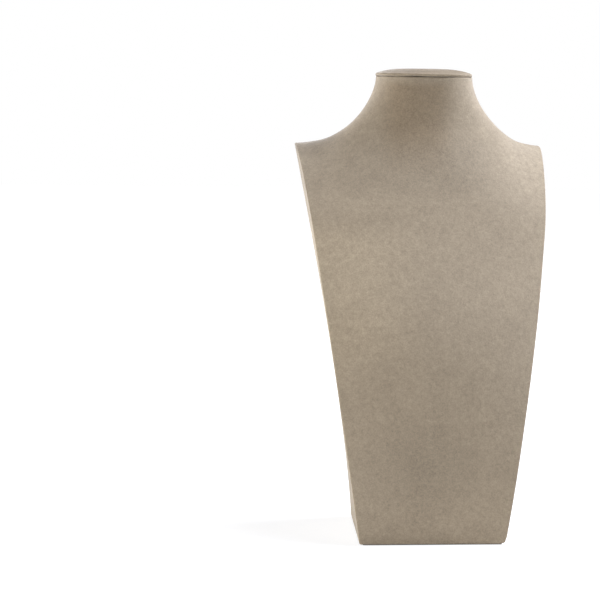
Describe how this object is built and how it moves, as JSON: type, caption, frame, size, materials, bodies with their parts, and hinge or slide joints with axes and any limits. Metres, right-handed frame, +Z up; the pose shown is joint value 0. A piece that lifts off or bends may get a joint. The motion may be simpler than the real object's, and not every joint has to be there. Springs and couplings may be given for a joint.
{
  "type": "necklace stand",
  "caption": "Bust-shaped necklace display stand covered in suede cloth, with sloping shoulders, a leaning chest and a padded cap on the neck.",
  "frame": {"origin": "middle of the underside of the felt pad, halfway between the front and the back at the bottom", "axes": "+Z up, the front faces -Y, +X to the right as seen from the front"},
  "size_m": [0.22, 0.127, 0.401],
  "materials": {
    "suede": "short-napped taupe suede cloth",
    "shell": "bare moulded plastic, hidden by the cloth",
    "board": "bare fibreboard, hidden by the cloth",
    "foam": "soft foam sheet, hidden by the cloth",
    "felt": "dark pressed felt"
  },
  "bodies": {
    "root": {"front_shell": "shell", "back_board": "board", "base_board": "board", "front_cover": "suede", "back_cover": "suede", "cap_board": "board", "cap_padding": "foam", "cap_cover": "suede", "felt_pad": "felt"}
  },
  "joints": []
}
